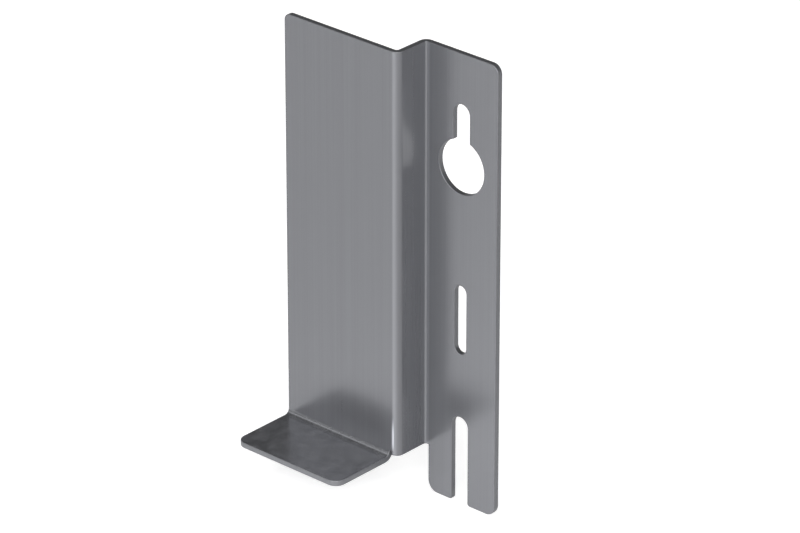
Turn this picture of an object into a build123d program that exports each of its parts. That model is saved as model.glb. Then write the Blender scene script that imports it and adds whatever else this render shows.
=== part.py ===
from build123d import *
import os

# A wall bracket folded from one sheet of brushed steel.
#
# Seen from the room, a tall panel stands off the wall on the left, a narrow web runs
# back from its right edge, and a wall plate lies flat on the wall to the right. The
# foot of the panel is folded forward into a shelf. The wall plate hangs on a screw in
# its keyhole, is held by a second screw in its middle slot, and straddles a third with
# the slot that is open at the foot.
#
# Frame: +X to the right along the wall, +Y into the wall, +Z up.
# Origin: the axis of the keyhole's round hole, on the face that lies against the wall.

# The sheet and its folds
sheet = 2.0                 # thickness of the steel
web_fold_radius = 0.8       # inside radius of the two upright folds beside the web
shelf_fold_radius = 2.0     # inside radius of the shelf's fold

# The wall plate, on the right
wall_plate_width = 31.4     # from the web's right face to the free edge
leg_length = 16.7           # from the shelf's upper face down to the ends of the two legs
leg_gap = 0.6               # from the end of the web's fold to the inner leg's edge

# The raised panel, on the left, and the web
panel_width = 50.6          # from the web's right face to the free edge
panel_height = 150.0        # from the top edge to the shelf's upper face
stand_off = 14.0            # from the wall to the back of the panel
web_clearance = 0.6         # from the shelf's upper face up to the web's lower end

# The shelf
shelf_depth = 26.4          # from the panel's front face to the shelf's front edge
shelf_gap = 1.0             # from the start of the web's fold to the shelf's right end

# The cut-outs, on one upright line in the wall plate
cut_line_inset = 15.8       # from the free edge to that line
keyhole_drop = 40.8         # from the top edge to the centre of the round hole
keyhole_diameter = 19.7     # passes the screw's head and its washer
neck_width = 7.0            # holds the screw's shank
neck_rise = 19.1            # from the round hole's centre to the centre of the neck's end
slot_drop = 97.2            # from the top edge to the middle of the slot
slot_width = 5.0
slot_length = 25.4          # over its round ends
foot_slot_width = 7.0
foot_slot_depth = 32.8      # from the ends of the legs to the top of its round end

# The rounded corners of the blank
panel_corner = 2.5          # panel, top left
wall_corner = 3.5           # wall plate, top right
leg_corner = 4.0            # outer corners of the two legs
mouth_corner = 1.0          # corners at the mouth of the foot slot
shelf_corner = 4.0          # front corners of the shelf

# Faces and edges, worked out from the sizes above
web_fold_outside = web_fold_radius + sheet
wall_face = 0.0
plate_front = wall_face - sheet
panel_back = wall_face - stand_off
panel_front = panel_back - sheet
plate_right = cut_line_inset
web_right = plate_right - wall_plate_width
web_left = web_right - sheet
web_fold_start = web_right - web_fold_outside
panel_left = web_right - panel_width
leg_left = web_right + web_fold_radius + leg_gap
shelf_right = web_fold_start - shelf_gap
shelf_front = panel_front - shelf_depth
top = keyhole_drop
shelf_top = top - panel_height
shelf_fold_start = shelf_top + shelf_fold_radius
web_end = shelf_top + web_clearance
leg_end = shelf_top - leg_length
slot_middle = top - slot_drop
foot_slot_centre = leg_end + foot_slot_depth - foot_slot_width / 2
foot_slot_side = foot_slot_width / 2


def folded_upright():
    """Panel, web and wall plate: the plan of the folded sheet, run up to the top edge."""
    front = FilletPolyline(
        (panel_left, panel_front),
        (web_right, panel_front),
        (web_right, plate_front),
        (plate_right, plate_front),
        radius=[web_fold_outside, web_fold_radius],
    )
    back = FilletPolyline(
        (panel_left, panel_back),
        (web_left, panel_back),
        (web_left, wall_face),
        (plate_right, wall_face),
        radius=[web_fold_radius, web_fold_outside],
    )
    free_edges = [Line(front @ 0, back @ 0), Line(front @ 1, back @ 1)]
    plan = make_face([front, back, *free_edges])
    return Pos(0, 0, leg_end) * extrude(plan, top - leg_end, dir=(0, 0, 1))


def clearance_below(left, right, height):
    """What the blank leaves out below this height, through everything between two sides."""
    size = (right - left, wall_face - panel_front, height - leg_end)
    low_corner = Pos(left, panel_front, leg_end)
    return low_corner * Box(*size, align=(Align.MIN, Align.MIN, Align.MIN))


def folded_shelf():
    """The shelf and its fold: the side view below the fold's start, run along the foot."""
    fold_centre = (panel_front - shelf_fold_radius, shelf_fold_start)
    inside = CenterArc(fold_centre, shelf_fold_radius, 0, -90)
    outside = CenterArc(fold_centre, shelf_fold_radius + sheet, 0, -90)
    root = Line(inside @ 0, outside @ 0)
    upper = Line(inside @ 1, (shelf_front, shelf_top))
    lower = Line(outside @ 1, (shelf_front, shelf_top - sheet))
    lip = Line(upper @ 1, lower @ 1)
    side = Plane.YZ * make_face([root, inside, upper, lip, lower, outside])
    return Pos(panel_left, 0, 0) * extrude(side, shelf_right - panel_left, dir=(1, 0, 0))


def through_wall_plate(outline):
    """A prism of this outline, drawn as seen from the room, right through the plate."""
    return extrude(Plane.XZ * outline, 2 * sheet, both=True)


def keyhole():
    """The round hole, with its narrower neck above."""
    neck = Pos(0, neck_rise / 2) * Rectangle(neck_width, neck_rise)
    neck_end = Pos(0, neck_rise) * Circle(neck_width / 2)
    return through_wall_plate(Circle(keyhole_diameter / 2) + neck + neck_end)


def middle_slot():
    upright = Pos(0, slot_middle) * SlotOverall(slot_length, slot_width, rotation=90)
    return through_wall_plate(upright)


def foot_slot():
    """The slot between the two legs: a round end, and straight sides down to the mouth."""
    straight = foot_slot_centre - leg_end
    sides = Pos(0, leg_end + straight / 2) * Rectangle(foot_slot_width, straight)
    round_end = Pos(0, foot_slot_centre) * Circle(foot_slot_side)
    return through_wall_plate(sides + round_end)


def corner_edges(solid, axis, places):
    """The straight edges along this axis that stand at these places across it."""
    across = [n for n in range(3) if abs(tuple(axis.direction)[n]) < 0.5]
    found = []
    for edge in solid.edges().filter_by(axis):
        middle = tuple(edge.center())
        for place in places:
            miss = [abs(middle[n] - value) for n, value in zip(across, place)]
            if max(miss) < 0.01:
                found.append(edge)
    return found


def with_round_corners(solid):
    """Rounds the corners of the blank, through the sheet's thickness."""
    for radius, axis, places in [
        (panel_corner, Axis.Y, [(panel_left, top)]),
        (wall_corner, Axis.Y, [(plate_right, top)]),
        (leg_corner, Axis.Y, [(leg_left, leg_end), (plate_right, leg_end)]),
        (mouth_corner, Axis.Y, [(-foot_slot_side, leg_end), (foot_slot_side, leg_end)]),
        (shelf_corner, Axis.Z, [(panel_left, shelf_front), (shelf_right, shelf_front)]),
    ]:
        solid = fillet(corner_edges(solid, axis, places), radius)
    return solid


def wall_bracket():
    sheet_metal = folded_upright()
    sheet_metal -= clearance_below(panel_left, web_fold_start, shelf_fold_start)
    sheet_metal -= clearance_below(web_fold_start, leg_left, web_end)
    sheet_metal += folded_shelf()
    for cut_out in [keyhole(), middle_slot(), foot_slot()]:
        sheet_metal -= cut_out
    return with_round_corners(sheet_metal)


def main():
    os.makedirs("parts", exist_ok=True)
    bracket = wall_bracket()
    export_step(bracket, "parts/wall_bracket.step")
    box = bracket.bounding_box()
    print("volume", round(bracket.volume), "mm3, size", box.size)


main()
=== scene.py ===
# %% [markdown]
# # A wall bracket in brushed steel
#
# The object is one sheet of steel, 2 mm thick, cut to an outline and folded three times.
# A raised panel stands off the wall, a small shelf is folded forward at its foot, and a
# web carries both back to the wall plate, which has a keyhole and two slots for screws.
#
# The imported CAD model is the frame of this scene. It gives the exact place and size, and
# this script gives the looks: the sheet is cut and folded again here as a finer mesh,
# with softly broken edges and with coordinates that follow the metal round its folds.

# %% Load the CAD model
import math

import bmesh
import bpy
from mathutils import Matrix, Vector
from mathutils.bvhtree import BVHTree
from mathutils.geometry import delaunay_2d_cdt


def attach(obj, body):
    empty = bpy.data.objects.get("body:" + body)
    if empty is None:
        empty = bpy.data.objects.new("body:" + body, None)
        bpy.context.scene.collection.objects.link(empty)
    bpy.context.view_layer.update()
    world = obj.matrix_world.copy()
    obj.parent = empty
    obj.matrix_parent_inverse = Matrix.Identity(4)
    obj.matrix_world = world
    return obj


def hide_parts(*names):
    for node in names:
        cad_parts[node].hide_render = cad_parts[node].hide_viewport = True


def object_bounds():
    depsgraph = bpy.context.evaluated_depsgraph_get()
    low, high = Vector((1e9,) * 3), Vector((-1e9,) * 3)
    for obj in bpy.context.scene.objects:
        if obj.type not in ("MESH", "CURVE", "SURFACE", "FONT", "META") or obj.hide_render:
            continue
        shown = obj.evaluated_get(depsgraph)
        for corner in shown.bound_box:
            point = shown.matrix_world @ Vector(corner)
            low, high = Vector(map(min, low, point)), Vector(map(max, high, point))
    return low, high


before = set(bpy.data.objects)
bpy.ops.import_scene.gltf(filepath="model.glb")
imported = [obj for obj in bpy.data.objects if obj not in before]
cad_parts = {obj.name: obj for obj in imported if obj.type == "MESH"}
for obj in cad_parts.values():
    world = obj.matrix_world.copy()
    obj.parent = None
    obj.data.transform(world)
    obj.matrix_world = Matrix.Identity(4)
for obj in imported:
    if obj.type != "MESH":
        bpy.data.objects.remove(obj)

cad_low, cad_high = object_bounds()
print("CAD box in mm:", [round(1000 * x, 1) for x in cad_high - cad_low])

# %% [markdown]
# ## The sizes of the sheet
#
# All sizes are in metres, in the CAD model's frame: +X to the right along the wall, +Y into
# the wall, +Z up, with the origin on the keyhole's axis. The outer faces are read from the
# CAD model itself, so the two can't drift apart. The rest are the sheet's own sizes.

# %% Sizes
MM = 0.001

sheet = 2.0 * MM
web_fold_radius = 0.8 * MM     # inside radius of the two upright folds
shelf_fold_radius = 2.0 * MM   # inside radius of the shelf's fold
stand_off = 14.0 * MM          # from the wall to the back of the panel
shelf_depth = 26.4 * MM        # from the panel's front face to the shelf's front edge
shelf_gap = 1.0 * MM           # beside the shelf's right end
web_clearance = 0.6 * MM       # from the shelf's upper face up to the web's lower end
leg_gap = 0.6 * MM             # from the end of the web's fold to the inner leg
leg_length = 16.7 * MM         # from the shelf's upper face to the legs' ends
wall_plate_width = 31.4 * MM   # from the web's right face to the free edge

left, foot = cad_low.x, cad_low.z
right, wall, top = cad_high
web_right = right - wall_plate_width
shelf_top = foot + leg_length
web_end = shelf_top + web_clearance
shelf_fold_start = shelf_top + shelf_fold_radius
panel_middle = wall - stand_off - sheet / 2   # the middle of the panel's thickness
print("Shelf's upper face at", round(shelf_top / MM, 1), "mm")

# %% [markdown]
# ## The flat blank
#
# A sheet-metal part starts as a flat blank, so the mesh does too. Modelling the folded shape
# directly would need a bevel on every cut edge and would leave the grain to be guessed at each
# fold. On the blank every cut is a line in a plane, and the grain simply runs upwards.
#
# In the blank, u runs across and v runs up. The wall plate keeps its own place, so u is X there,
# and each fold takes up as much of u or v as the middle of the sheet is long in its bend.

# %% Places of the folds in the blank
web_fold_middle = web_fold_radius + sheet / 2
shelf_fold_middle = shelf_fold_radius + sheet / 2
web_fold_length = web_fold_middle * math.pi / 2
shelf_fold_length = shelf_fold_middle * math.pi / 2
web_flat = stand_off + sheet - 2 * (web_fold_radius + sheet)

plate_fold_end = web_right + web_fold_radius
plate_fold_start = plate_fold_end - web_fold_length
panel_fold_end = plate_fold_start - web_flat
panel_fold_start = panel_fold_end - web_fold_length
panel_shift = (web_right - sheet - web_fold_radius) - panel_fold_start
blank_left = left - panel_shift
shelf_fold_end = shelf_fold_start - shelf_fold_length
shelf_flat = shelf_depth - shelf_fold_radius
blank_foot = shelf_fold_end - shelf_flat
shelf_right = panel_fold_start - shelf_gap
print("Blank in mm:", round((right - blank_left) / MM, 1), "x", round((top - blank_foot) / MM, 1))

# %% [markdown]
# ## Outlines
#
# Every outline is a list of points that goes round with the metal on its left: the outside runs
# anticlockwise and the holes clockwise. The corners of the blank are all square ones, so it is
# enough to give each its place and its radius, and a rounded corner is a quarter circle set in
# from both sides.

# %% Helpers for outlines
ARC_STEPS = 10
SAME_PLACE = 0.005 * MM        # points nearer than this are taken as one


def arc(centre, radius, start, end, steps=ARC_STEPS):
    """Points on an arc, from the angle start to the angle end, in degrees."""
    angles = [math.radians(start + (end - start) * n / steps) for n in range(steps + 1)]
    return [centre + radius * Vector((math.cos(a), math.sin(a))) for a in angles]


def rounded(corners):
    """An outline through square corners (u, v, radius), with a quarter circle at each radius."""
    places = [Vector(corner[:2]) for corner in corners]
    points = []
    for n, (place, corner) in enumerate(zip(places, corners)):
        radius = corner[2]
        if radius == 0:
            points.append(place)
            continue
        to_last = (places[n - 1] - place).normalized()
        to_next = (places[(n + 1) % len(places)] - place).normalized()
        centre = place + radius * (to_last + to_next)
        start = math.degrees(math.atan2(-to_next.y, -to_next.x))
        turn = 90 if to_last.cross(to_next) < 0 else -90
        points += arc(centre, radius, start, start + turn)
    # Two arcs that meet, as over the foot slot, give the same point twice. One is dropped.
    return [point for n, point in enumerate(points) if (point - points[n - 1]).length > SAME_PLACE]


print("Points on a rounded corner:", ARC_STEPS + 1)

# %% [markdown]
# ## The outside of the blank
#
# One cut runs round the whole blank. It takes in the slot between the two legs, which is open
# at the foot, the gap that frees the inner leg from the web, and the notch that keeps the
# shelf's fold clear of the upright one. These could be cuts of their own, but then each would
# have to meet the outside exactly.

# %% Outline of the blank
panel_corner, wall_corner = 2.5 * MM, 3.5 * MM
leg_corner, mouth_corner, shelf_corner = 4.0 * MM, 1.0 * MM, 4.0 * MM
foot_slot_side = 3.5 * MM      # half of the slot's width
foot_slot_depth = 32.8 * MM
foot_slot_top = foot + foot_slot_depth
leg_left = plate_fold_end + leg_gap
outside = rounded([
    (right, foot, leg_corner),
    (right, top, wall_corner),
    (blank_left, top, panel_corner),
    (blank_left, blank_foot, shelf_corner),
    (shelf_right, blank_foot, shelf_corner),
    (shelf_right, shelf_fold_start, 0),
    (panel_fold_start, shelf_fold_start, 0),
    (panel_fold_start, web_end, 0),
    (leg_left, web_end, 0),
    (leg_left, foot, leg_corner),
    (-foot_slot_side, foot, mouth_corner),
    (-foot_slot_side, foot_slot_top, foot_slot_side),
    (foot_slot_side, foot_slot_top, foot_slot_side),
    (foot_slot_side, foot, mouth_corner),
])
print("Outside:", len(outside), "points")

# %% [markdown]
# ## The keyhole and the middle slot
#
# A screw's head passes through the round hole, and the bracket then drops until the shank lies in
# the round end of the neck. A second screw, through the middle slot, fixes the height. Each
# hole is a chain of two arcs, and its straight sides are what joins them. Boolean modifiers could
# cut both later, but as outlines they get clean walls at once.

# %% Outlines of the holes
keyhole_radius = 9.85 * MM
neck_side = 3.5 * MM           # half of the neck's width
neck_rise = 19.1 * MM          # from the round hole's centre to the neck's round end
neck_root = math.degrees(math.acos(neck_side / keyhole_radius))
keyhole = (
    arc(Vector((0, neck_rise)), neck_side, 180, 0, 2 * ARC_STEPS)
    + arc(Vector((0, 0)), keyhole_radius, neck_root, -180 - neck_root, 6 * ARC_STEPS)
)

slot_side = 2.5 * MM           # half of the slot's width
slot_length = 25.4 * MM        # over its round ends
slot_drop = 97.2 * MM          # from the top edge to the slot's middle
slot_middle = top - slot_drop
slot_reach = slot_length / 2 - slot_side
middle_slot = (
    arc(Vector((0, slot_middle + slot_reach)), slot_side, 180, 0, 2 * ARC_STEPS)
    + arc(Vector((0, slot_middle - slot_reach)), slot_side, 0, -180, 2 * ARC_STEPS)
)
outlines = [outside, keyhole, middle_slot]
print("Outline points:", [len(outline) for outline in outlines])

# %% [markdown]
# ## Cut walls with broken edges
#
# After cutting, a sheet's edges are deburred, which leaves a rounding of about 0.2 mm. Under
# soft light that rounding is what draws a thin line along each edge. The Bevel modifier could
# add it, but here the cut walls are made as rings instead: each ring is the outline, set in by a
# little and at its own depth, and the ring's places across the sheet follow a quarter circle.

# %% Build the cut walls
EDGE_STEPS = 3
BROAD, CUT = 0, 1              # the material slots of the new mesh
edge_break = 0.2 * MM


def set_in(outline, distance):
    """The outline moved into the metal by this distance, with mitred corners."""
    moved = []
    for n, place in enumerate(outline):
        before = (place - outline[n - 1]).normalized()
        after = (outline[(n + 1) % len(outline)] - place).normalized()
        inward_before, inward_after = before.orthogonal(), after.orthogonal()
        mitre = (inward_before + inward_after) / (1 + inward_before.dot(inward_after))
        moved.append(place + distance * mitre)
    return moved


def edge_profile():
    """(distance set in, depth) from the front face to the back, depth being 0 at mid-sheet."""
    half = []
    for n in range(EDGE_STEPS + 1):
        angle = math.radians(90 * n / EDGE_STEPS)
        distance = edge_break * (1 - math.sin(angle))
        depth = sheet / 2 - edge_break * (1 - math.cos(angle))
        half.append((distance, depth))
    return half + [(distance, -depth) for distance, depth in reversed(half)]


blank = bmesh.new()
for outline in outlines:
    rings = []
    for distance, depth in edge_profile():
        rings.append([blank.verts.new((p.x, p.y, depth)) for p in set_in(outline, distance)])
    for upper, lower in zip(rings, rings[1:]):
        for n in range(len(upper)):
            wall_face = blank.faces.new((upper[n - 1], upper[n], lower[n], lower[n - 1]))
            wall_face.material_index = CUT
print("Cut walls:", len(blank.faces), "faces")

# %% [markdown]
# ## Lines for the folds
#
# A mesh bends only where it has edges, so each fold needs a row of lines along it before the
# sheet is bent. The cut walls are divided at those lines now, while every fold is a straight band
# in a flat sheet. The shelf's lines stop at its right end, as the legs beside it aren't folded.

# %% Divide the walls at the folds
FOLD_STEPS = 12
ACROSS, UP = 0, 1              # the axes u and v


def fold_lines(start, end):
    """The places of the lines that divide a fold into equal strips."""
    return [start + (end - start) * n / FOLD_STEPS for n in range(FOLD_STEPS + 1)]


lines = [(ACROSS, place, right) for place in fold_lines(panel_fold_start, panel_fold_end)]
lines += [(ACROSS, place, right) for place in fold_lines(plate_fold_start, plate_fold_end)]
lines += [(UP, place, shelf_right) for place in fold_lines(shelf_fold_start, shelf_fold_end)]

for axis, place, limit in lines:
    normal = Vector((1, 0, 0)) if axis == ACROSS else Vector((0, 1, 0))
    reached = [f for f in blank.faces if all(v.co.x < limit + SAME_PLACE for v in f.verts)]
    bmesh.ops.bisect_plane(
        blank,
        geom=list(dict.fromkeys(part for f in reached for part in (f, *f.edges, *f.verts))),
        plane_co=normal * place,
        plane_no=normal,
        dist=SAME_PLACE,
    )
print("Fold lines:", len(lines), "giving", len(blank.faces), "faces in the walls")

# %% [markdown]
# ## Filling the broad faces
#
# The front and the back of the sheet are flat regions with holes. A plain triangle fill would
# run long slivers across the folds. A Delaunay triangulation takes the rim and the fold lines as
# edges that must be kept, and makes the best triangles it can between them. It also fills the
# holes and the notches, so only the triangles whose middle lies in the metal are used.

# %% Fill the broad faces
ALL_TRIANGLES = 0              # the kind of result that the triangulation is asked for
TOLERANCE = 1e-9               # metres
borders = [set_in(outline, edge_break) for outline in outlines]


def in_metal(place):
    """Whether a line to the right of this place crosses the borders an odd number of times."""
    crossings = 0
    for border in borders:
        for n, end in enumerate(border):
            start = border[n - 1]
            if (start.y > place.y) != (end.y > place.y):
                share = (place.y - start.y) / (end.y - start.y)
                crossings += start.x + share * (end.x - start.x) > place.x
    return crossings % 2 == 1


def fill(side):
    """Fills the front (side 1) or the back (side -1) of the blank."""
    rim_edges = [e for e in blank.edges if e.is_boundary and e.verts[0].co.z * side > 0]
    rim = sorted({vert for edge in rim_edges for vert in edge.verts}, key=lambda vert: vert.co[:])
    number = {vert: n for n, vert in enumerate(rim)}
    fixed = [tuple(number[vert] for vert in edge.verts) for edge in rim_edges]
    for axis, place, limit in lines:
        on_line = [
            n for n, vert in enumerate(rim)
            if abs(vert.co[axis] - place) < 2 * SAME_PLACE and vert.co.x < limit + SAME_PLACE
        ]
        on_line.sort(key=lambda n: rim[n].co[1 - axis])
        for a, b in zip(on_line, on_line[1:]):
            if in_metal((rim[a].co + rim[b].co) / 2):
                fixed.append((a, b))
    flat = [vert.co.xy for vert in rim]
    made = delaunay_2d_cdt(flat, fixed, [], ALL_TRIANGLES, TOLERANCE)
    places, triangles, sources = made[0], made[2], made[3]
    for triangle in triangles:
        if in_metal(sum((places[n] for n in triangle), Vector((0, 0))) / 3):
            face = blank.faces.new([rim[sources[n][0]] for n in triangle])
            face.material_index = BROAD


for side in (1, -1):
    fill(side)
bmesh.ops.recalc_face_normals(blank, faces=blank.faces)
open_edges = [edge for edge in blank.edges if len(edge.link_faces) != 2]
print("Blank:", len(blank.faces), "faces,", len(open_edges), "open edges")
print("Blank:", round(blank.calc_volume() / MM ** 3), "mm3")

# %% [markdown]
# ## Coordinates that follow the metal
#
# The UV map is the flat blank itself, in metres. It is written before the folding, so a line of
# grain that runs up the panel also runs round the fold and out along the shelf, as it does on
# a real sheet that was brushed before it was bent. The sheet's two sides are brushed one after
# the other, so the back has a stretch of the map to itself, a metre along.

# %% Write the UV map
BACK_OF_SHEET = 1.0
blank.normal_update()
blank_map = blank.loops.layers.uv.new("blank")
for face in blank.faces:
    along = BACK_OF_SHEET if face.normal.z < -0.5 else 0.0
    for loop in face.loops:
        loop[blank_map].uv = loop.vert.co.xy + Vector((along, 0))
print("Mapped faces:", len(blank.faces))

# %% [markdown]
# ## Folding
#
# Each fold is an exact cylinder. Its middle line keeps its length, as it nearly does in real
# sheet, and what is nearer to the centre of the bend is shortened while the rest is stretched.

# %% Fold the blank


def folded(place):
    """Where a point (u, v, depth) of the blank lies once the sheet is folded."""
    u, v, depth = place
    if u <= panel_fold_start:
        across, out, up = u + panel_shift, panel_middle - depth, v
        if v < shelf_fold_start and u < shelf_right + SAME_PLACE:
            angle = min((shelf_fold_start - v) / shelf_fold_middle, math.pi / 2)
            reach = shelf_fold_middle - depth
            centre_out = panel_middle - shelf_fold_middle
            straight = max(shelf_fold_end - v, 0)
            out = centre_out + reach * math.cos(angle) - straight
            up = shelf_fold_start - reach * math.sin(angle)
        return Vector((across, out, up))
    if u < panel_fold_end:
        angle = (u - panel_fold_start) / web_fold_middle
        reach = web_fold_middle + depth
        centre = Vector((panel_fold_start + panel_shift, panel_middle + web_fold_middle))
        return Vector((centre.x + reach * math.sin(angle), centre.y - reach * math.cos(angle), v))
    if u <= plate_fold_start:
        out = panel_middle + web_fold_middle + (u - panel_fold_end)
        return Vector((web_right - sheet / 2 + depth, out, v))
    if u < plate_fold_end:
        angle = (u - plate_fold_start) / web_fold_middle
        reach = web_fold_middle - depth
        centre = Vector((plate_fold_end, wall - sheet - web_fold_radius))
        return Vector((centre.x - reach * math.cos(angle), centre.y + reach * math.sin(angle), v))
    return Vector((u, wall - sheet / 2 - depth, v))


for vert in blank.verts:
    vert.co = folded(vert.co)
bmesh.ops.recalc_face_normals(blank, faces=blank.faces)
print("Folded sheet:", round(blank.calc_volume() / MM ** 3), "mm3")

# %% [markdown]
# ## From mesh to piece
#
# The sheet is shaded smooth, with normals weighted by the size of each face. The broad faces
# then stay flat right up to their edges, and only the narrow strips of the folds and the
# broken edges turn. A BVH tree of the CAD model shows how far the new mesh is from it.

# %% Make the sheet's object
mesh = bpy.data.meshes.new("steel_sheet")
blank.to_mesh(mesh)
blank.free()
mesh.shade_smooth()
steel_sheet = bpy.data.objects.new("steel_sheet", mesh)
bpy.context.scene.collection.objects.link(steel_sheet)
weighted = steel_sheet.modifiers.new("weighted_normals", "WEIGHTED_NORMAL")
weighted.weight = 100

cad_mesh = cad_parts["wall_bracket"].data
cad_tree = BVHTree.FromPolygons(
    [v.co for v in cad_mesh.vertices], [p.vertices[:] for p in cad_mesh.polygons]
)
gaps = [cad_tree.find_nearest(v.co)[3] for v in mesh.vertices]
print("Furthest from the CAD model:", round(max(gaps) / MM, 3), "mm")

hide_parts("wall_bracket")
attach(steel_sheet, "root")

# %% [markdown]
# ## Colours and nodes
#
# Colours are written as sRGB hex values, as an eyedropper shows them, and one function turns
# them into the linear values that the renderer works with. Another adds a node to a material,
# with its settings, its values and its links in one call. Both materials of the bracket could be
# made by hand in the shader editor, but written out they can be read and changed line by line.

# %% Helpers for materials


def linear(code):
    """A colour such as "8a8b8e", turned from sRGB to linear, with alpha 1."""
    channels = [int(code[n:n + 2], 16) / 255 for n in (0, 2, 4)]
    light = [c / 12.92 if c <= 0.04045 else ((c + 0.055) / 1.055) ** 2.4 for c in channels]
    return (*light, 1)


def add(tree, kind, inputs=None, **settings):
    """A new node. A socket given as an input is linked, and anything else is set as its value."""
    node = tree.nodes.new(kind)
    for name, value in settings.items():
        setattr(node, name, value)
    for socket, value in (inputs or {}).items():
        if isinstance(value, bpy.types.NodeSocket):
            tree.links.new(value, node.inputs[socket])
        else:
            node.inputs[socket].default_value = value
    return node


def maths(tree, operation, first, second):
    """The output of a Math node that joins two values."""
    return add(tree, "ShaderNodeMath", {0: first, 1: second}, operation=operation).outputs[0]


def scaled(tree, colour, factor):
    """The colour times a factor. It may pass 1 on the way, which a Mix node would cut off."""
    return add(tree, "ShaderNodeVectorMath", {0: colour, 3: factor}, operation="SCALE").outputs[0]


def new_material(name):
    """A material without nodes, and its node tree."""
    material = bpy.data.materials.new(name)
    material.use_nodes = True
    material.node_tree.nodes.clear()
    return material, material.node_tree


print("Mid grey 808080 is", round(linear("808080")[0], 3), "in linear light")

# %% [markdown]
# ## Brushed steel
#
# The broad faces are cold-rolled steel, brushed with an abrasive belt along the height of the
# panel. To the eye that gives a satin metal: reflections are there but soft, they smear across
# the grain, and fine streaks run up the sheet.
#
# A metal has no colour of its own under its reflections, so the base colour is how much of the
# surroundings it gives back. A belt's scratches are about 0.1 mm apart, too fine for this
# picture, so the finest streaks here are drawn 0.5 mm apart.

# %% Brushed steel
steel, tree = new_material("brushed_steel")
uv = add(tree, "ShaderNodeUVMap", uv_map="blank").outputs["UV"]


def streaks(spacing, length, detail):
    """Noise drawn out along the grain: one streak per spacing across, and this long."""
    stretched = add(tree, "ShaderNodeMapping", {
        "Vector": uv,
        "Scale": (1 / spacing, 1 / length, 1),
    })
    return add(tree, "ShaderNodeTexNoise", {
        "Vector": stretched.outputs["Vector"],
        "Scale": 1.0,
        "Detail": detail,
        "Roughness": 0.6,
    }, noise_dimensions="2D").outputs["Fac"]


def spread(noise, low, high):
    """The noise, whose values lie mostly from 0.3 to 0.7, stretched to run from low to high."""
    return add(tree, "ShaderNodeMapRange", {
        "Value": noise, "From Min": 0.3, "From Max": 0.7, "To Min": low, "To Max": high,
    }).outputs["Result"]


fine_spacing, fine_length = 0.5 * MM, 150 * MM
broad_spacing, broad_length = 4 * MM, 400 * MM
fine = streaks(fine_spacing, fine_length, 2)
broad = streaks(broad_spacing, broad_length, 3)
both = add(tree, "ShaderNodeMix", {"Factor": 0.5, "A": fine, "B": broad}, data_type="FLOAT")
tint = spread(both.outputs["Result"], 0.0, 1.0)
colour = add(tree, "ShaderNodeMix", {
    "Factor": tint, "A": linear("838488"), "B": linear("85868a"),
}, data_type="RGBA").outputs["Result"]
print("Grain:", len(tree.nodes), "nodes")

# %% [markdown]
# ## Places in the blank
#
# Folds, the light and shade painted on them and the marks of the next cells lie at known places on
# the sheet, so here they are found by their place in the flat blank. A mask could be painted
# instead, but it would have to be painted again whenever a size changes. The legs reach as far
# down the blank as the shelf does, so whatever belongs to the shelf is looked up at a place that
# is a metre higher beside the panel.

# %% Places for the marks
place_in_blank = add(tree, "ShaderNodeSeparateXYZ", {"Vector": uv}).outputs
u_place, v_place = place_in_blank["X"], place_in_blank["Y"]
beside_panel = maths(tree, "GREATER_THAN", u_place, panel_fold_start)    # 1 metre, or 0
shelf_place = maths(tree, "ADD", v_place, beside_panel)
print("The shelf ends at u =", round(shelf_right / MM, 1), "mm")

# %% [markdown]
# ## Painted light on the folds
#
# A press brake pushes the sheet into a groove with a rounded blade. Here the colour is multiplied
# by a curve across each fold, and that curve paints light: a painted highlight along the outside
# of the first fold and along the inside of the second, painted shade across the middle of the
# first fold and of the shelf's fold, and the whole shelf painted a little lighter beyond its fold.
# A separate material for the folds would show a seam, and the curve has none.

# %% Painted light on the folds
RAMP_TOP = 2.0                 # a ramp's colours end at 1, so they are shares of this factor
# The next value is how far the painted highlight of the second fold reaches on to the plate, in
# lengths of the fold.
PLATE_HIGHLIGHT_REACH = 1.4                  # the blade's line reaches on to the plate: in lengths of the fold


# Paints highlight and shade across a fold by multiplying its colour.
def fold_light_and_shade(colour, place, start, length, stops):
    """The colour times a factor that changes across a fold, at stops (place 0 to 1, factor)."""
    across_fold = add(tree, "ShaderNodeMapRange", {
        "Value": place, "From Min": start, "From Max": start + length,
    })
    ramp = add(tree, "ShaderNodeValToRGB", {"Fac": across_fold.outputs["Result"]})
    ramp.color_ramp.interpolation = "B_SPLINE"
    points = ramp.color_ramp.elements
    while len(points) < len(stops):
        points.new(0.5)
    for point, (position, factor) in zip(points, stops):
        share = factor / RAMP_TOP
        point.position = position
        point.color = (share, share, share, 1)
    shaded = add(tree, "ShaderNodeVectorMath", {
        0: colour, 1: ramp.outputs["Color"],
    }, operation="MULTIPLY").outputs[0]
    return scaled(tree, shaded, RAMP_TOP)


# Between panel and web, seen from outside: a painted highlight line, then painted shade across the
# middle
colour = fold_light_and_shade(colour, u_place, panel_fold_start, web_fold_length, [
    (0.0, 1.0), (0.1, 1.25), (0.2, 1.4), (0.3, 1.3),
    (0.45, 0.95), (0.6, 0.8), (0.8, 0.78), (1.0, 1.0),
])
# Between web and plate, seen from inside: a painted highlight line that reaches on to the plate
colour = fold_light_and_shade(colour, u_place, plate_fold_start, PLATE_HIGHLIGHT_REACH * web_fold_length, [
    (0.0, 1.0), (0.4, 1.0), (0.62, 1.1), (0.75, 1.6), (0.85, 1.6), (1.0, 1.0),
])
# Between panel and shelf, seen from inside: painted shade in its middle that dims its highlight,
# and beyond it the whole shelf painted 1.1 times lighter
colour = fold_light_and_shade(colour, shelf_place, shelf_fold_start, -shelf_fold_length, [
    (0.0, 1.0), (0.2, 0.95), (0.4, 0.75), (0.6, 1.0), (1.0, 1.1),
])
print("Folds in mm of sheet:", round(web_fold_length / MM, 2), round(shelf_fold_length / MM, 2))

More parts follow.
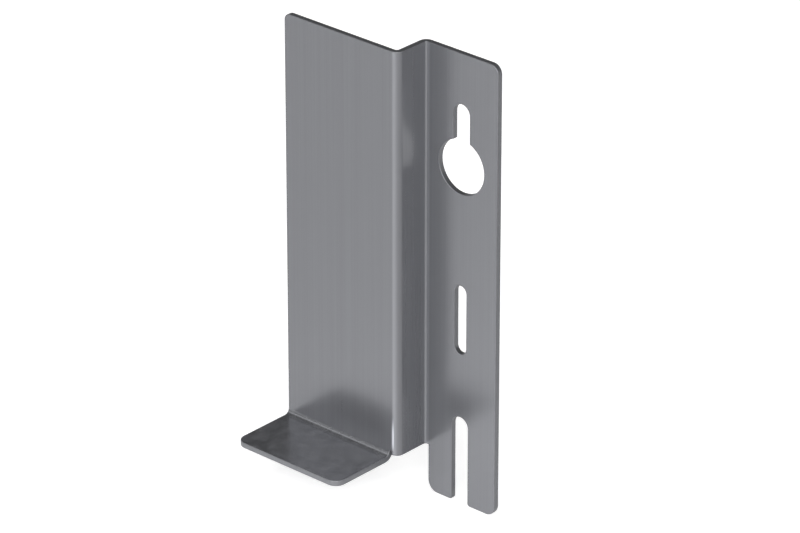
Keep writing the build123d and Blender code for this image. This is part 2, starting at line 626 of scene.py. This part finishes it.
# %% [markdown]
# ## Painted light and shade, and scuffs
#
# A bright line is painted into the foot of the first fold as a painted highlight, the panel and
# the plate are painted darker just above the foot as painted shade that darkens the shelf's
# reflection there, and the shelf has faint scuffs. Each mark is a soft-edged patch of the blank,
# given by where it starts to show and where it is full.

# %% Painted highlight, painted shade and scuffs


def between(place, rise, fall):
    """1 between rise and fall, which are pairs of places where the change starts and ends."""
    shown = add(tree, "ShaderNodeMapRange", {
        "Value": place, "From Min": rise[0], "From Max": rise[1],
    }, interpolation_type="SMOOTHSTEP")
    gone = add(tree, "ShaderNodeMapRange", {
        "Value": place, "From Min": fall[0], "From Max": fall[1], "To Min": 1.0, "To Max": 0.0,
    }, interpolation_type="SMOOTHSTEP")
    return maths(tree, "MULTIPLY", shown.outputs["Result"], gone.outputs["Result"])


def marked(colour, origin, across, up, factor):
    """The colour times factor in a patch. Across and up are four places each, in mm."""
    u_places = [origin[0] + place * MM for place in across]
    v_places = [origin[1] + place * MM for place in up]
    shown_across = between(u_place, u_places[:2], u_places[2:])
    shown_up = between(v_place, v_places[:2], v_places[2:])
    amount = add(tree, "ShaderNodeMapRange", {
        "Value": maths(tree, "MULTIPLY", shown_across, shown_up), "To Min": 1.0, "To Max": factor,
    })
    return scaled(tree, colour, amount.outputs["Result"])


panel_foot = (blank_left, shelf_top)
fold_foot = (panel_fold_start, web_end)
plate_foot = (0.0, foot_slot_top)
shelf_root = (blank_left, shelf_fold_end + shelf_fold_radius)
# Each mark: its origin in the blank, four places across, four places up, factor
painted_marks_and_scuffs = [
    # The first is a painted highlight, the next two are painted shade, the last three are scuffs
    (fold_foot, (0.0, 0.15, 0.4, 0.7), (0, 5, 8, 15), 3.2),
    (panel_foot, (10, 32, 40, 50), (2, 10, 11, 22), 0.82),
    (plate_foot, (-10, -2, -1, 9), (-5, 3, 4, 13), 0.88),
    (shelf_root, (4, 8, 8, 12), (-26, -22.6, -22.6, -19), 0.8),
    (shelf_root, (4, 10, 10, 15), (-18, -12, -12, -8), 0.88),
    (shelf_root, (13, 18, 18, 23), (-25, -20, -20, -15), 0.9),
]
for mark in painted_marks_and_scuffs:
    colour = marked(colour, *mark)
print("Marks:", len(painted_marks_and_scuffs))

# %% [markdown]
# ## The shelf's surface, and the finished steel
#
# What is set down on the shelf rubs its film of oxide and oil off in patches, so its metal
# shows cleaner there, and clouded where it was left. Clean metal mirrors and haze scatters,
# which is the Metallic value. The patches are about 4 mm across. The grain drives the
# roughness and a very low bump, and its direction smears the reflections across it.

# %% Shelf and shader
cloud_size = 4 * MM
clouded_metal, clean_metal = 0.7, 0.84
dark_streak_metal, light_streak_metal = 0.715, 0.685
smoothest, roughest = 0.235, 0.255
streak_depth = 0.01 * MM

on_shelf = add(tree, "ShaderNodeMapRange", {
    "Value": shelf_place, "From Min": shelf_fold_start, "From Max": shelf_fold_end,
})
clouds = add(tree, "ShaderNodeTexNoise", {
    "Vector": uv, "Scale": 1 / cloud_size, "Detail": 3, "Roughness": 0.6,
}, noise_dimensions="2D")
brushed = add(tree, "ShaderNodeMapRange", {
    "Value": tint, "To Min": dark_streak_metal, "To Max": light_streak_metal,
})
metallic = add(tree, "ShaderNodeMix", {
    "Factor": on_shelf.outputs["Result"],
    "A": brushed.outputs["Result"],
    "B": spread(clouds.outputs["Fac"], clouded_metal, clean_metal),
}, data_type="FLOAT")
bump = add(tree, "ShaderNodeBump", {"Height": fine, "Strength": 0.04, "Distance": streak_depth})
grain_line = add(tree, "ShaderNodeTangent", direction_type="UV_MAP", uv_map="blank")
shader = add(tree, "ShaderNodeBsdfPrincipled", {
    "Base Color": colour,
    "Metallic": metallic.outputs["Result"],
    "Roughness": spread(fine, smoothest, roughest),
    "Anisotropic": 0.35,
    "Tangent": grain_line.outputs["Tangent"],
    "Normal": bump.outputs["Normal"],
})
add(tree, "ShaderNodeOutputMaterial", {"Surface": shader.outputs["BSDF"]})
steel_sheet.data.materials.append(steel)
print("Brushed steel:", len(tree.nodes), "nodes")

# %% [markdown]
# ## Cut edges
#
# The walls of the cuts are bare steel as the cutter and the deburring wheel left it: no belt has
# been along them, so they have no grain, only small uneven patches. Their colour is darker and
# plainer than the broad faces, partly as bare cut steel and partly as painted shade for the walls
# that face away from the light. The shelf's front edge, which faces the bright floor in front, is
# painted lighter again as a painted highlight. The walls could share the sheet's material, but
# then its streaks would run through them edge-on. So they have one of their own, in the sheet's
# second slot, and its patches are laid in space and not in the blank, where a wall has no width.

# %% Cut edges
patch_size = 1.2 * MM
# Where the painted highlight on the shelf's front edge starts and is full, and how much lighter it
# is
front_highlight_start, front_highlight_full = blank_foot + 2.5 * MM, blank_foot + 0.5 * MM
FRONT_EDGE_HIGHLIGHT = 1.28           # times the colour of the other walls

cut_steel, tree = new_material("cut_steel_edge")
place = add(tree, "ShaderNodeTexCoord").outputs["Object"]
patches = add(tree, "ShaderNodeTexNoise", {"Vector": place, "Scale": 1 / patch_size, "Detail": 3})
dull = add(tree, "ShaderNodeMix", {
    "Factor": patches.outputs["Fac"], "A": linear("6f7074"), "B": linear("7e7f82"),
}, data_type="RGBA")

uv = add(tree, "ShaderNodeUVMap", uv_map="blank").outputs["UV"]
v_place = add(tree, "ShaderNodeSeparateXYZ", {"Vector": uv}).outputs["Y"]
# Painted highlight: the shelf's front edge is painted lighter than the other walls.
front_edge_highlight = add(tree, "ShaderNodeMapRange", {
    "Value": v_place, "From Min": front_highlight_start, "From Max": front_highlight_full,
    "To Min": 1.0, "To Max": FRONT_EDGE_HIGHLIGHT,
})
shader = add(tree, "ShaderNodeBsdfPrincipled", {
    "Base Color": scaled(tree, dull.outputs["Result"], front_edge_highlight.outputs["Result"]),
    "Metallic": 0.75,
    "Roughness": 0.35,
})
add(tree, "ShaderNodeOutputMaterial", {"Surface": shader.outputs["BSDF"]})
steel_sheet.data.materials.append(cut_steel)
walls = [face for face in steel_sheet.data.polygons if face.material_index == CUT]
print("Cut walls:", len(walls), "faces,", round(sum(face.area for face in walls) / MM ** 2), "mm2")

# %% [markdown]
# ## Floor and backdrop
#
# The floor is a pale studio sweep: flat round the object, and curved up into a low wall at its
# far edge. It could be a plane, a curved strip and a wall, but one profile spun round makes it
# seamless from every side.

# %% Shape of the sweep
BEND_STEPS, TURN_STEPS = 12, 96
flat_radius, bend_radius, wall_height = 2.2, 0.5, 0.8
seam_gap = 0.01 * MM           # points nearer than this, at the seam and the middle, are joined
floor_gap = 0.2 * MM           # below the legs' ends
profile = [(0.0, 0.0), (0.5, 0.0), (1.2, 0.0)]    # the middle and two rings on the flat part
for n in range(BEND_STEPS + 1):
    angle = math.radians(90 * n / BEND_STEPS)
    reach = flat_radius + bend_radius * math.sin(angle)
    profile.append((reach, bend_radius * (1 - math.cos(angle))))
profile.append((flat_radius + bend_radius, wall_height))

sweep = bmesh.new()
path = [sweep.verts.new((reach, 0, height)) for reach, height in profile]
spine = [sweep.edges.new(pair) for pair in zip(path, path[1:])]
bmesh.ops.spin(
    sweep, geom=path + spine, cent=(0, 0, 0), axis=(0, 0, 1), angle=2 * math.pi, steps=TURN_STEPS
)
bmesh.ops.remove_doubles(sweep, verts=sweep.verts, dist=seam_gap)
bmesh.ops.recalc_face_normals(sweep, faces=sweep.faces)
mesh = bpy.data.meshes.new("floor")
sweep.to_mesh(mesh)
sweep.free()
mesh.shade_smooth()
floor = bpy.data.objects.new("floor", mesh)
floor.location.z = foot - floor_gap
bpy.context.scene.collection.objects.link(floor)
print("Sweep:", len(mesh.polygons), "faces")

# %% [markdown]
# ## Studio paper
#
# The floor is matt white paper. Its own surface is plainly lit and takes the object's soft shadow.
# What the camera sees of it also gets a glow that brings it up to white, and glass would get the
# same. The metal sees a painted pool of light in it: a glow that is whitest on the table round the
# object and falls off away from it, which is why the upright faces are brighter at the foot than
# at the top.

# %% Studio paper
CAMERA_GLOW = 0.6
MIRRORED_SHARE = 0.62          # of the glow, where the metal mirrors the table's middle
GLOW_POOL_MIDDLE = (-0.02, -0.06, 0)
GLOW_POOL_REACH = 0.12             # metres from the middle to where the glow is down to 37 %

paper, tree = new_material("studio_paper")
ray = add(tree, "ShaderNodeLightPath").outputs
place = add(tree, "ShaderNodeTexCoord").outputs["Object"]
# Painted pool of light: in reflections the paper glows, most round this middle.
from_middle = add(tree, "ShaderNodeVectorMath", {
    0: place, 1: GLOW_POOL_MIDDLE,
}, operation="DISTANCE").outputs["Value"]
glow_pool = maths(tree, "POWER", math.exp(-1 / GLOW_POOL_REACH), from_middle)
share = maths(tree, "MULTIPLY", glow_pool, MIRRORED_SHARE)
mirrored = maths(tree, "MULTIPLY", ray["Is Glossy Ray"], share)
seen = maths(tree, "MAXIMUM", ray["Is Camera Ray"], mirrored)
seen = maths(tree, "MAXIMUM", seen, ray["Is Transmission Ray"])
glow = maths(tree, "MULTIPLY", seen, CAMERA_GLOW)
lit = add(tree, "ShaderNodeBsdfDiffuse", {"Color": linear("e6e6e6")})
white = add(tree, "ShaderNodeEmission", {"Color": (1, 1, 1, 1), "Strength": glow})
sum_of_both = add(tree, "ShaderNodeAddShader", {0: lit.outputs[0], 1: white.outputs[0]})
add(tree, "ShaderNodeOutputMaterial", {"Surface": sum_of_both.outputs[0]})
floor.data.materials.append(paper)
print("Studio paper:", len(tree.nodes), "nodes")

# %% [markdown]
# ## Light
#
# Brushed metal shows the room more than it shows its own colour, so the room is built to be
# mirrored. Three tall soft boxes stand side by side, in front and round to the right, and light
# the upright faces. A low, wide box on the left is the one that the shelf's fold and the shelf
# itself pick up, and a weak one hangs above. Behind the object the room stays dark, which is
# what the top edges mirror.

# %% Room and lamps
ROOM_LIGHT = 0.05
world = bpy.data.worlds.new("studio")
bpy.context.scene.world = world
world.use_nodes = True
room = world.node_tree.nodes["Background"].inputs
room["Color"].default_value = linear("ffffff")
room["Strength"].default_value = ROOM_LIGHT


def direction(azimuth, elevation):
    """A unit vector out from the object. Azimuth 0 is in front (-Y) and 90 to the right (+X)."""
    turn, rise = math.radians(azimuth), math.radians(elevation)
    level = math.cos(rise)
    return Vector((math.sin(turn) * level, -math.cos(turn) * level, math.sin(rise)))


def soft_box(name, azimuth, elevation, distance, width, height, radiance):
    """A rectangular lamp that faces the object. Its power is worked out from its radiance."""
    lamp = bpy.data.lights.new(name, "AREA")
    lamp.shape = "RECTANGLE"
    lamp.size, lamp.size_y = width, height
    lamp.energy = radiance * math.pi * width * height
    box = bpy.data.objects.new(name, lamp)
    box.location = (cad_low + cad_high) / 2 + distance * direction(azimuth, elevation)
    box.rotation_euler = direction(azimuth, elevation).to_track_quat("Z", "Y").to_euler()
    bpy.context.scene.collection.objects.link(box)


# Each lamp: name, azimuth and elevation in degrees, then distance, width and height in metres,
# and last its radiance
for settings in [
    ("front_box", 0, 30, 2.2, 1.2, 1.7, 3.7),
    ("right_box", 45, 30, 2.2, 1.2, 1.7, 4.9),
    ("side_box", 92, 30, 2.2, 1.2, 1.7, 3.1),
    ("left_box", -45, 31, 2.2, 1.4, 0.8, 1.15),
    ("top_box", 0, 88, 2.0, 1.2, 1.2, 1.3),
]:
    soft_box(*settings)
lamps = [item for item in bpy.context.scene.objects if item.type == "LIGHT"]
print("Lamps in watts:", {item.name: round(item.data.energy, 1) for item in lamps})

# %% [markdown]
# ## Camera
#
# The camera stands where the photograph's did: 42 degrees round to the right, 26 degrees above
# the horizon, with a long lens. Its place and lens come from a fit to the object's edges.

# %% Camera
camera_place = (0.97606, -1.11632, 0.69152)
camera_azimuth, camera_elevation = math.radians(41.996), math.radians(26.171)
focal_length, film_width = 223.5, 36.0    # in mm, as a lens is sold

lens_data = bpy.data.cameras.new("camera")
lens_data.sensor_fit = "HORIZONTAL"
lens_data.sensor_width = film_width
lens_data.lens = focal_length
lens_data.clip_start, lens_data.clip_end = 0.05, 20
camera = bpy.data.objects.new("camera", lens_data)
camera.location = camera_place
camera.rotation_euler = (math.pi / 2 - camera_elevation, 0, camera_azimuth)
bpy.context.scene.collection.objects.link(camera)
bpy.context.scene.camera = camera
bpy.context.scene.view_settings.view_transform = "Standard"
print("Camera to keyhole:", round(camera.location.length, 3), "m")
